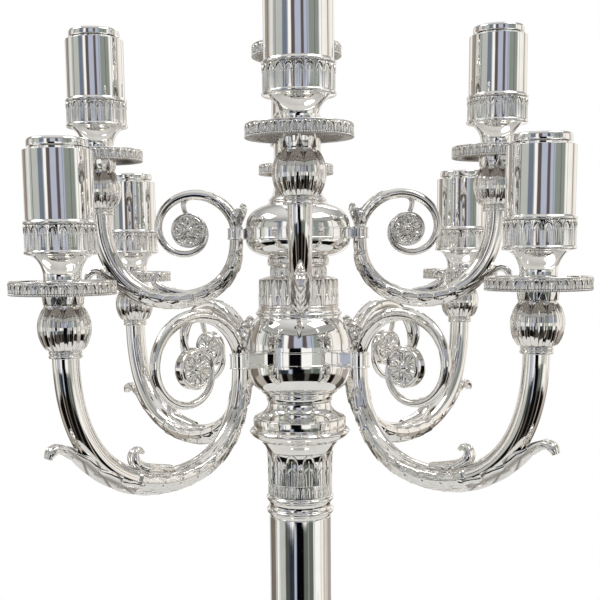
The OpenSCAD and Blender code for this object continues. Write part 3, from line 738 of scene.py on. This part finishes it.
def high_plan():
    """Shape of an upper arm, told in the same way."""
    reach = math.hypot(*middle("pan_high_1")[:2])
    return {
        "root": HIGH_ROOT, "clasp": level("upper_band"), "foot": level("bud_high_1")[0], "reach": reach,
        "bottom": (94, 530.5), "scale": 0.8,
        "fall": ((HIGH_ROOT, 549), (62, 530.5)), "rise": ((127, 530.5), (reach, 556)),
        "bar_keys": (0, 0.15, 0.42, 0.72, 1), "bar_radii": (5.0, 5.2, 5.8, 7.1, 7.7),
        "scales_end": 0.62,
        "eye": (81.6, 581.2), "eye_r": 12.7,
        "spiral": ((178, 35.6), (90, 25.8), (0, 22.2), (-90, 17.0), (-180, 12.8), (-228, 10.8)),
        "volute_radii": (4.4, 3.8, 3.0, 2.4, 1.9),
        "tendril": ((73, 606.2), (86, 607.5), (87, 600.5), (82.5, 592.5)),
        "leaves": [
            ([(84, 524.8), (96, 524.4), (112, 526.6), (125, 531.8), (134, 538), (141, 544), (147, 549.5),
              (152.5, 551.5), (157.5, 548.5), (159, 544.5)],
             SHEATH, (4, 8.5, 10, 9, 5.6, 2.4), (6.2, 6.8, 5.8, 4.2, 3), 1, 6),
            ([(44, 583.5), (41.5, 589), (39.5, 594), (39, 598), (41, 600), (43, 598)],
             ACANTHUS, (7, 11, 11.5, 9, 5), (5.6, 5.2, 4.4), -1, 4),
        ],
        "curls": [
            ([(86, 535), (96, 536.5), (103, 538.5), (108, 543), (108.2, 547.6), (104.6, 549.4), (102.6, 547)],
             HORN, (2.4, 3.4, 2.8, 1.0)),
            ([(146, 548.5), (150, 551), (154.5, 551.2), (158, 548), (159.2, 544.5)], ROLL, (1.2, 2.3, 2.6, 1.4)),
        ],
    }


def rosette_mesh(name, r, petals):
    """A flower disc facing +Z: a boss, a ring of looped petals and a double rim."""
    shell = Shell()
    turns = petals * 16
    share = np.linspace(0.02, 1, 34)
    angle = np.arange(turns) * TAU / turns
    a, s = angle[None, :], share[:, None]
    u = bay(a, s, petals)[0]
    v = (s - 0.24) / 0.56
    edge = 0.44 * np.sqrt(unit(np.sin(np.clip(v, 0, 1) ** 1.4 * math.pi)))
    inside = ramp(edge - np.abs(u), -0.05, 0.06) * ramp(v, 0, 0.1) * ramp(1.02 - v, 0, 0.1)
    loop = near(np.abs(u) - edge, 0.07) * ramp(v, 0, 0.1) * ramp(1.05 - v, 0, 0.1)
    boss = dome(s / 0.2)
    collar = near(s - 0.235, 0.03)
    rim = near(s - 0.86, 0.035) + near(s - 0.955, 0.03) * 0.9
    height = 1.0 + 1.6 * boss + 0.6 * collar + 1.1 * loop + 0.5 * inside * near(u, 0.08) + 1.0 * rim
    height = (height - 0.3 * inside) * np.ones((len(share), turns))
    # recess paints shade on the low ground between the boss, petals and rims.
    recess = unit(0.42 - boss - collar - loop - rim - 0.3 * inside) * np.ones_like(height)
    height[-1] = 0.6
    x, y = r * s * np.cos(a), r * s * np.sin(a)
    face = np.stack([x + 0 * height, y + 0 * height, height], -1)[::-1]
    foot = face[:1].copy()
    foot[..., 2] = 0
    shell.grid(np.concatenate([foot, face]), np.concatenate([recess[:1], recess[::-1]]))
    return shell.mesh(name, CAST, 60)


def build_arms():
    """Every arm, with a rosette on both faces of its volute's eye."""
    for kind, tiers, plan, petals in (("low", LOW, low_plan(), 10), ("high", HIGH, high_plan(), 8)):
        arm = arm_mesh(kind + "_arm_shape", plan)
        flower = rosette_mesh(kind + "_rosette_shape", plan["eye_r"], petals)
        for tier in tiers:
            x, y = middle("pan_" + tier)[:2]
            turn = Matrix.Rotation(math.atan2(y, x), 4, "Z")
            place(arm, "scroll_arm_" + tier, "branches", "arm_" + tier, turn)
            for side, facing in (("a", -1), ("b", 1)):
                at = turn @ Matrix.Translation((plan["eye"][0] * MM, facing * HUB_HALF * MM, plan["eye"][1] * MM))
                at = at @ Matrix.Rotation(-facing * math.pi / 2, 4, "X")
                place(flower, f"rosette_{tier}_{side}", "branches", "arm_rosettes", at)


# ---------------- centre of the branch unit

BOSS_R = half_width("lower_drum")
CAPITAL_BAYS = 12


def build_drums():
    """The two hollow bosses."""
    low, high = level("lower_drum")
    band = level("lower_band")
    shell = turned([
        (20, low), (29, low, 0.3),
        *bezier((29, low + 0.2), (35, low + 1.6), (BOSS_R - 0.3, low + 10), (BOSS_R, band[0] - 1), 16),
        (BOSS_R, band[1]), *bezier((BOSS_R, band[1] + 0.4), (BOSS_R, 500), (37.6, 511), (31.2, 516.6), 18),
        (31.2, 517.2, 0.3), *bulge(31, 519.2, 1.4), (31.0, high - 0.6, 0.3), (31, high), (20, high), (20, high - 3),
        (27, high - 3), (27, high - 8), (BOSS_R - 3.5, 500), (BOSS_R - 2.5, 490), (BOSS_R - 3, 474), (27, 464),
        (20, 464),
    ], 192)
    place(shell.mesh("lower_boss_shape", PLAIN), "lower_boss", "branches", "lower_drum")
    low, high = level("upper_drum")
    band = level("upper_band")
    shell = turned([
        (14, low), (22.8, low, 0.3), (23, low + 1.2, 0.4),
        *bezier((23.3, low + 1.5), (31, low + 2.5), (BOSS_R, low + 7), (BOSS_R, band[0]), 14), (BOSS_R, band[1]),
        *bezier((BOSS_R, band[1] + 0.3), (BOSS_R, 591), (34, 596), (25, 598.8), 14), (22.3, 599.6, 0.6), (22, high),
        (14, high), (14, high - 4), (23, high - 5), (BOSS_R - 3.5, 588), (BOSS_R - 2.5, 578), (BOSS_R - 5, 568),
        (22, 564), (14, 564),
    ], 192)
    place(shell.mesh("upper_boss_shape", PLAIN), "upper_boss", "branches", "upper_drum")


def keyhole(root, clasp_r, half):
    """Plan of one clasp: a strap from the boss that ends in a round eye about the bar."""
    open_a = math.asin(min(1, half / clasp_r))
    arc = np.linspace(math.pi - open_a, -(math.pi - open_a), 28)
    eye = [(root + clasp_r * math.cos(a), clasp_r * math.sin(a)) for a in arc]
    return [(BOSS_R - 0.3, half), *eye, (BOSS_R - 0.3, -half)]


def build_band(name, node, root, bar_r, turn):
    """A hoop round a boss with four clasps, each holding a bar of radius bar_r at distance root."""
    low, high = level(node)
    shell = Shell()
    edge, wall = 0.5, 1.3
    rows = [(low, -0.4), (low + 0.3, edge), (low + 1.0, edge), (low + 1.3, 0), (high - 1.3, 0), (high - 1.0, edge),
            (high - 0.3, edge), (high, -0.4)]
    outer = BOSS_R + 1.0
    shell.lathe([(outer + d, z) for z, d in rows] + [(BOSS_R - 0.8, high), (BOSS_R - 0.8, low)], 192)
    plan = np.array(keyhole(root, bar_r + wall, 0.93 * (bar_r + wall)))[::-1]
    ahead = np.roll(plan, -1, 0) - np.roll(plan, 1, 0)
    normal = np.stack([ahead[:, 1], -ahead[:, 0]], 1)
    normal /= np.linalg.norm(normal, axis=1, keepdims=True)
    for k in range(4):
        a = turn + k * math.pi / 2
        rot = np.array([[math.cos(a), -math.sin(a)], [math.sin(a), math.cos(a)]])
        grid = []
        for z, d in rows:
            flat = (plan + normal * d) @ rot.T
            grid.append(np.column_stack([flat, np.full(len(flat), z)]))
        shell.grid(np.array(grid))
    place(shell.mesh(name + "_shape", PLAIN, 40), name, "branches", node)


def collar_band(angle, v, count, depth):
    """Tall leaves in a row, with balls between their tips and small arches between their feet."""
    out, recess = leaf_band(angle, v, count, depth, half=0.35, shape=6.0, dart=0.10, lean=0.2)
    _, side, v = bay(angle + math.pi / count, v, count)
    edge = 0.30 * dome(v / 0.42, 2.5)
    inside = ramp(edge - side, -0.03, 0.05)
    rim = near(side - edge, 0.06) * ramp(0.45 - v, 0, 0.03)
    out = np.maximum(out, depth * (0.75 * rim + 0.25 * inside))
    # recess marks painted shade between the leaves and, fainter, inside the small arches.
    return out, unit(recess * (1 - inside) * (1 - rim) + 0.3 * inside * (1 - rim))


def build_sleeve():
    """The leafed sleeve between the bosses, with its neck and ring."""
    low, high = level("leaf_sleeve")
    shell = turned([
        (14, low), (30.2, low, 0.3), *bulge(29.6, low + 1.0, 0.7), (29.9, low + 1.9), *bulge(29.6, low + 2.8, 0.7),
        (29.4, low + 3.8), (29.2, 543, 0.5), (27.8, 545.2, 1.0), (24, 546.4, 1), (21.4, 547.0, 0.6),
        (20.6, 548.4, 0.6), (20.7, 553.6, 0.5), (22.0, 554.6, 0.4), *bulge(22.2, 556.2, 1.0), (21.6, 557.6, 0.3),
        (21.4, high - 0.4, 0.3),
        (21.2, high), (14, high),
    ], 160)
    strip(shell, 29.35, 29.35, low + 3.9, 544.6, 60, 36, 1.8, collar_band, count=24, depth=0.85)
    strip(shell, 21.0, 20.9, 547.4, 553.8, 22, 26, 1.4, leaf_band, count=20, depth=0.8, half=0.38, shape=3.0,
          dart=0.1)
    strip(shell, 22.2, 22.6, 554.6, 559.6, 16, 24, 1.4,
          lambda a, v, count: leaf_band(a + 0.2, 1 - v, count, depth=0.8, half=0.42, shape=2.6, dart=0.1), count=16)
    place(shell.mesh("sleeve_shape", CAST, 70), "leaf_collar", "branches", "leaf_sleeve")


def build_stem():
    """The centre stem and its bud, in one piece."""
    low = level("top_stem")[0]
    neck = PAN_Z + BUD_LOW
    shell = turned([
        (14, low), (21.5, low, 0.4), *bulge(20.3, low + 1.6, 1.3), (20.4, low + 3.2, 0.4),
        *bezier((20.0, low + 3.5), (18.2, low + 5), (17.4, low + 9), (17.4, low + 16), 8), (17.4, neck - 5.4, 0.3),
        *bulge(17.0, neck - 4.0, 1.1), (17.1, neck - 2.6), (16.4, neck - 0.6, 0.8), (10.5, neck), (ROD_HOLE, neck),
        (ROD_HOLE, neck - 5), (14, neck - 5),
    ], 128)
    bud = Shell()
    add_bud(bud, ROD_HOLE)
    shell.add(bud.moved(Matrix.Translation((0, 0, PAN_Z))))
    place(shell.mesh("stem_shape", CAST, 60), "centre_stem", "branches", "top_stem")


def build_plug():
    """The waisted spool that stands on the capital, with the plug under it."""
    low, high = level("branch_plug")
    seat = level("column_capital")[1]
    plug_r = 14.7
    shell = turned([
        (ROD_HOLE, low), (plug_r - 1, low, 0.3), (plug_r, low + 1.2, 0.5), (plug_r, seat + 0.01),
        (34.2, seat + 0.01, 0.3), (34.4, seat + 0.8, 0.3),
        *bezier((33.6, seat + 1.2), (28.6, seat + 3.2), (24.6, seat + 6.2), (24.1, seat + 10), 12),
        (24.0, seat + 12.6, 0.4), (24.9, seat + 13.4, 0.3), (24.9, seat + 14.4, 0.3),
        *bezier((25.0, seat + 14.8), (25.4, seat + 17.4), (27.4, seat + 18), (28.8, seat + 20.2), 10), (28.8, high),
        (ROD_HOLE, high),
    ])
    place(shell.mesh("spool_shape", PLAIN), "branch_spool", "branches", "branch_plug")


# ---------------- column and base

def build_column():
    """The plain tube."""
    low, high = level("column_tube")
    r = half_width("column_tube")
    shell = turned([
        (r - 1.8, low), (r - 0.4, low, 0.3), (r, low + 0.6, 0.3), (r, high - 0.6, 0.3), (r - 0.4, high, 0.2),
        (r - 1.8, high),
    ], 192)
    place(shell.mesh("tube_shape", PLAIN), "column_shaft", "stand", "column_tube")


def arch_band(angle, v):
    """Bays of a low arch inside a tall one, drawn as raised lines, with a bud on a stalk between the bays."""
    u, side, v = bay(angle, v, CAPITAL_BAYS)
    tall = 0.40 * dome(v / 0.97, 4) * (1 - 0.1 * v)
    small = 0.33 * dome(v / 0.55, 3)
    line = near(side - tall, 0.028) * ramp(1.0 - v, 0, 0.03)
    inner = near(side - small, 0.03) * ramp(0.58 - v, 0, 0.03)
    rib = near(u, 0.025) * ramp(0.80 - v, 0, 0.06) * 0.6
    fold = near(side - 0.16 - 0.1 * v, 0.025) * ramp(0.45 - v, 0, 0.1) * 0.5
    gap = 0.5 - side
    stalk = near(gap, 0.045) * ramp(0.50 - v, 0, 0.05)
    bud = near(np.hypot(gap, (v - 0.54) * 0.7), 0.075)
    lines = np.maximum.reduce([line, inner, rib, fold, 0.8 * stalk, bud * 1.2])
    shoulder = near(side - tall, 0.09) + near(side - small, 0.09) * ramp(0.6 - v, 0, 0.05)
    # recess paints shade beside the raised arch lines.
    return 0.7 * lines, unit(0.35 * shoulder * (1 - lines))


def build_capital():
    """The column's capital: two beads, a row of small leaves, a band of arches and a flare, with a socket in it."""
    low, high = level("column_capital")
    socket_r, socket_low = 15.0, high - 52
    throat = bezier((23.9, 404), (23.9, 411), (25.0, 416.5), (29.4, 421.4), 14)
    shell = turned([
        (socket_r, socket_low), (ROD_HOLE, socket_low), (ROD_HOLE, 374), (19, 374), (19, low), (23.8, low, 0.3),
        (24, 366), *bulge(24.1, 368, 1.9), (24.0, 370.4), (24.0, 375.6), *bulge(24.2, 377.8, 1.9), (24.2, 380.2),
        (24.3, 381, 0.3),
        (23.9, 390.4), *throat, (30.0, 422.6, 0.4), (31.6, 423.6, 0.5), (36.2, 426.2, 1.4), (38.2, 429.0, 1.4),
        (38.2, 430.0, 1.0), (36.6, 432.0, 0.8), (34.6, 432.6, 0.3), (35.3, 434.0, 0.4), (35.3, high - 0.4, 0.4),
        (34.9, high, 0.2), (socket_r + 0.6, high, 0.6), (socket_r, high - 1.4),
    ], 192)
    strip(shell, 24.3, 24.1, 381.2, 389.6, 20, 20, 1.4, leaf_band, count=36, depth=0.7, half=0.38, shape=3.0,
          dart=0.09)
    rows = np.linspace(389.8, 415.4, 64)
    wall = np.interp(rows, throat[:, 1], throat[:, 0]) + 0.12

    def shaped(angle, z):
        out, recess = arch_band(angle, (z - 390.4) / 24.6)
        face = np.arange(len(z))[:, None] < len(rows)
        return (out - 0.3 * (1 - ramp(z, 389.8, 390.2)) - 0.5 * ramp(z, 414.6, 415.4)) * face, recess * face

    face = np.stack([wall, rows], 1)
    back = np.stack([wall[::-8] - 1.2, rows[::-8]], 1)
    shell.lathe(np.vstack([face, back]), CAPITAL_BAYS * 64, shaped)
    place(shell.mesh("capital_shape", CAST, 70), "column_capital_leafed", "stand", "column_capital")


def build_base():
    """The round stepped foot, with arches and beads round its edge."""
    low, high = level("base_foot")
    edge = half_width("base_foot")
    shell = turned([
        (edge - 4, low), (edge - 0.4, low, 0.4), (edge - 0.6, low + 2.2, 0.4), (edge - 1.4, low + 2.6),
        (edge - 1.4, 14.6, 0.3), (edge - 0.5, 15, 0.4), (edge - 0.6, 16.6, 0.5), (edge - 3, 18, 1.2),
        (edge - 6, 18.4, 0.5), (edge - 8, 20.2, 0.6),
        *bezier((edge - 9, 20.6), (edge - 26, 23), (72, 27), (62.5, 36), 26), (62.4, 36.8, 0.3),
        *bulge(62.6, 39.5, 2.8, 11), (61, 42.6, 0.4), (60, 44, 0.6),
        *bezier((59.4, 44.6), (57, 56), (46, 62), (35, 67.6), 20), (34, 68.8, 0.4), *bulge(33.6, 71.4, 2.3, 9),
        (31.4, 74, 0.4), *bezier((31, 75), (28, 79), (26.5, 84), (26.4, 87.6), 10), (27.5, 88.2, 0.3),
        (27.5, high, 0.5), (ROD_HOLE, high), (ROD_HOLE, 66), (31, 64), (50, 53), (56, 43), (59, 34), (70, 24),
        (edge - 30, 19), (edge - 9, 16.5), (edge - 4, 14),
    ], 256)
    strip(shell, edge - 1.1, edge - 1.1, low + 2.6, 14.7, 30, 20, 2.0, tongue_band, count=72, depth=0.9)
    strip(shell, edge - 0.9, edge - 0.9, low + 0.2, low + 2.4, 8, 8, 2.0, bead_band, count=200, depth=0.8)
    place(shell.mesh("foot_shape", CAST, 60), "round_foot", "stand", "base_foot")


def finish_hidden_parts():
    """Materials for the CAD pieces that are shown as they are."""
    for node, stuff in (("base_felt", FELT), ("base_ballast", IRON), ("base_nut", STEEL), ("column_rod", STEEL),
                        ("branch_rod", STEEL), ("band_screws", STEEL)):
        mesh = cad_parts[node].data
        mesh.materials.clear()
        mesh.materials.append(stuff)


# ---------------- stage

def bent_direction(tree):
    """The direction of sight, bent a little by slow noise so that uprights don't run dead straight."""
    coords = add_node(tree, "TexCoord", {}).outputs["Generated"]
    drift = add_node(tree, "TexNoise", {"Vector": coords, "Scale": 2.2, "Detail": 2})
    sway = np.array((0.07, 0.07, 0.12))
    centred = add_node(tree, "VectorMath", {0: coords, 1: sway / 2}, operation="SUBTRACT")
    bent = add_node(tree, "VectorMath", {0: drift.outputs["Color"], 1: sway, 2: centred.outputs[0]},
                    operation="MULTIPLY_ADD")
    return add_node(tree, "SeparateXYZ", {0: bent.outputs[0]}).outputs


def room_colour(tree):
    """A studio of dark and tinted uprights. Places round it run from 0 toward -Y, by 0.25 at -X, back to 1."""
    along = bent_direction(tree)
    around = add_node(tree, "Math", {0: along["X"], 1: along["Y"]}, operation="ARCTAN2").outputs[0]
    share = spread(tree, around, 0, 1, -math.pi, math.pi)
    height = add_node(tree, "Math", {0: along["Z"]}, operation="ARCSINE").outputs[0]
    rise = spread(tree, height, 0, 1, -math.pi / 2, math.pi / 2)
    white, cream, pale = (1.0, 0.99, 0.97), (0.93, 0.88, 0.81), (0.50, 0.52, 0.49)
    slate, sage, lilac = (0.17, 0.20, 0.26), (0.26, 0.29, 0.26), (0.46, 0.50, 0.61)
    brown, tan, mauve = (0.20, 0.17, 0.14), (0.52, 0.47, 0.42), (0.42, 0.36, 0.34)
    ink, iron, moss = (0.030, 0.038, 0.05), (0.08, 0.085, 0.08), (0.12, 0.14, 0.12)
    dark, dusk = (0.002, 0.002, 0.003), (0.12, 0.095, 0.095)
    soot, grey, light = (0.004, 0.0035, 0.0035), (0.09, 0.08, 0.07), (0.44, 0.40, 0.35)
    black, clear, none = (0.015, 0.013, 0.013), (1, 1, 1), (0, 0, 0)
    high_walls = colours(
        tree, share, (lilac, 0, 0.032), (dusk, 0.038, 0.068), (white, 0.074, 0.098), (slate, 0.104, 0.146),
        (pale, 0.154, 0.221), (dark, 0.225), (pale, 0.232), (white, 0.296), (dark, 0.301), (white, 0.308),
        (brown, 0.316), (tan, 0.39), (white, 0.4), (tan, 0.5), (white, 0.56), (cream, 0.66), (tan, 0.7),
        (cream, 0.71), (white, 0.8), (sage, 0.815, 0.905), (lilac, 0.915, 0.95), (dusk, 0.956, 0.978), (lilac, 0.984))
    mid_walls = colours(
        tree, share, (dark, 0, 0.06), (white, 0.066, 0.108), (lilac, 0.114, 0.17), (dark, 0.177), (white, 0.184),
        (pale, 0.234), (dark, 0.24), (white, 0.247), (cream, 0.305), (dark, 0.314), (pale, 0.323), (brown, 0.4),
        (white, 0.41), (tan, 0.5), (white, 0.58), (cream, 0.66, 0.694), (dark, 0.7), (white, 0.708), (cream, 0.788),
        (dark, 0.796), (cream, 0.804), (pale, 0.85, 0.915), (white, 0.925, 0.986), (dark, 0.992))
    low_walls = colours(
        tree, share, (dark, 0, 0.042), (lilac, 0.048, 0.064), (ink, 0.07, 0.118), (iron, 0.126, 0.16),
        (pale, 0.168, 0.228), (white, 0.236, 0.266), (dark, 0.272), (white, 0.282), (brown, 0.3, 0.395),
        (pale, 0.405), (white, 0.5, 0.58), (mauve, 0.59, 0.675), (cream, 0.685), (tan, 0.74), (cream, 0.75),
        (white, 0.81, 0.862), (moss, 0.872, 0.914), (pale, 0.922), (moss, 0.93, 0.966), (dark, 0.976))
    ground = colours(
        tree, share, (soot, 0, 0.045), (grey, 0.052, 0.075), (soot, 0.082, 0.116), (light, 0.12, 0.132),
        (soot, 0.137, 0.258), (light, 0.268, 0.35), (grey, 0.36, 0.44), (light, 0.45, 0.57), (grey, 0.58, 0.66),
        (light, 0.67, 0.738), (soot, 0.748, 0.846), (light, 0.851, 0.864), (soot, 0.87, 0.935), (grey, 0.942, 0.962),
        (soot, 0.968))
    ceiling = colours(
        tree, rise, ((0.03, 0.028, 0.026), 0.633), ((0.42, 0.42, 0.41), 0.642), ((0.34, 0.34, 0.33), 0.69),
        ((0.55, 0.55, 0.54), 0.76), ((0.75, 0.75, 0.74), 0.9))
    thin = ((0.098, 0.002, 0.003), (0.241, 0.002, 0.005), (0.283, 0.002, 0.005), (0.366, 0.002, 0.006),
            (0.455, 0.003, 0.007), (0.596, 0.004, 0.008), (0.694, 0.004, 0.006), (0.779, 0.003, 0.004),
            (0.853, 0.003, 0.004), (0.921, 0.003, 0.003))
    lines = colours(tree, share, (clear, 0), *(
        run for at, before, after in thin for run in ((clear, at - before), (black, at), (clear, at + after))))
    from_middle = colours(tree, rise, (none, 0.444), (clear, 0.45))
    from_upper = colours(tree, rise, (none, 0.5), (clear, 0.508))
    to_ground = colours(tree, rise, (clear, 0, 0.385), (none, 0.4))
    from_ceiling = colours(tree, rise, (none, 0.628), (clear, 0.631))
    walls = blend_colour(tree, from_upper, blend_colour(tree, from_middle, low_walls, mid_walls), high_walls)
    lined = blend_colour(tree, 1.0, walls, lines, "MULTIPLY")
    return blend_colour(tree, from_ceiling, blend_colour(tree, to_ground, lined, ground), ceiling)


def studio_world():
    """A white backdrop to the camera, and the studio's walls to everything else."""
    world = bpy.data.worlds.new("studio")
    bpy.context.scene.world = world
    world.use_nodes = True
    tree = world.node_tree
    tree.nodes.clear()
    seen = add_node(tree, "Background", {"Color": (1, 1, 1, 1), "Strength": 1.0})
    room = add_node(tree, "Background", {"Color": room_colour(tree), "Strength": 1.0})
    to_camera = add_node(tree, "LightPath", {}).outputs["Is Camera Ray"]
    mix = add_node(tree, "MixShader", {0: to_camera, 1: room.outputs[0], 2: seen.outputs[0]})
    add_node(tree, "OutputWorld", {"Surface": mix.outputs[0]})


def soft_light(name, place_at, aim, size, power, mirrored=True):
    """A softbox; one that isn't mirrored lights the floor but shows in no reflection."""
    data = bpy.data.lights.new(name, "AREA")
    data.shape = "RECTANGLE"
    data.size, data.size_y = size
    data.energy = power
    lamp = bpy.data.objects.new(name, data)
    bpy.context.scene.collection.objects.link(lamp)
    lamp.location = place_at
    lamp.rotation_euler = (lamp.location - aim).to_track_quat("Z", "Y").to_euler()
    lamp.visible_glossy = mirrored


def build_stage():
    """Floor, world and lights, in metres."""
    floor = bpy.data.meshes.new("floor_shape")
    sides, radius = 96, 0.62
    angles = [TAU * i / sides for i in range(sides)]
    ring = [(radius * math.cos(a), radius * math.sin(a), 0.0) for a in angles]
    floor.from_pydata(ring, [], [list(range(sides))])
    material, tree, shader, coords = new_material("pale_floor")
    tone = colours(tree, noise(tree, coords, 60, 3), ((0.78, 0.78, 0.77), 0.3), ((0.83, 0.83, 0.82), 0.7))
    feed(tree, shader, {"Base Color": tone, "Roughness": 0.7})
    floor.materials.append(material)
    ground = bpy.data.objects.new("pale_floor", floor)
    bpy.context.scene.collection.objects.link(ground)
    studio_world()
    aim = Vector((0, 0, 0.55))
    soft_light("softbox_left", Vector((-1.13, 0.03, 1.68)), aim, (0.9, 0.5), 4.6)
    soft_light("softbox_right", Vector((0.87, -0.38, 1.85)), aim, (1.0, 0.6), 5.6)
    soft_light("softbox_back", Vector((0.3, 1.5, 1.6)), aim, (0.7, 0.4), 2.0)
    soft_light("overhead", Vector((0, 0, 2.3)), aim, (1.4, 1.4), 11, mirrored=False)


def build_camera():
    """The camera that sees the object as it is framed, from just over the lower boss."""
    data = bpy.data.cameras.new("camera")
    data.sensor_width = 36
    data.lens = 61.8
    data.shift_x, data.shift_y = 0.0157, 0.1719
    data.clip_start = 0.01
    camera = bpy.data.objects.new("camera", data)
    bpy.context.scene.collection.objects.link(camera)
    pitch, roll = math.radians(81.62), math.radians(-0.573)
    place_at = Matrix.Translation((-0.0068, -0.7785, 0.5652))
    camera.matrix_world = place_at @ Matrix.Rotation(pitch, 4, "X") @ Matrix.Rotation(roll, 4, "Z")
    scene = bpy.context.scene
    scene.camera = camera
    scene.view_settings.view_transform = "Standard"


build_camera()
build_holders()
build_arms()
build_drums()
build_band("lower_hoop", "lower_band", LOW_ROOT, 5.75, math.pi / 4)
build_band("upper_hoop", "upper_band", HIGH_ROOT, 5.0, 0)
build_sleeve()
build_stem()
build_plug()
build_column()
build_capital()
build_base()
finish_hidden_parts()
build_stage()
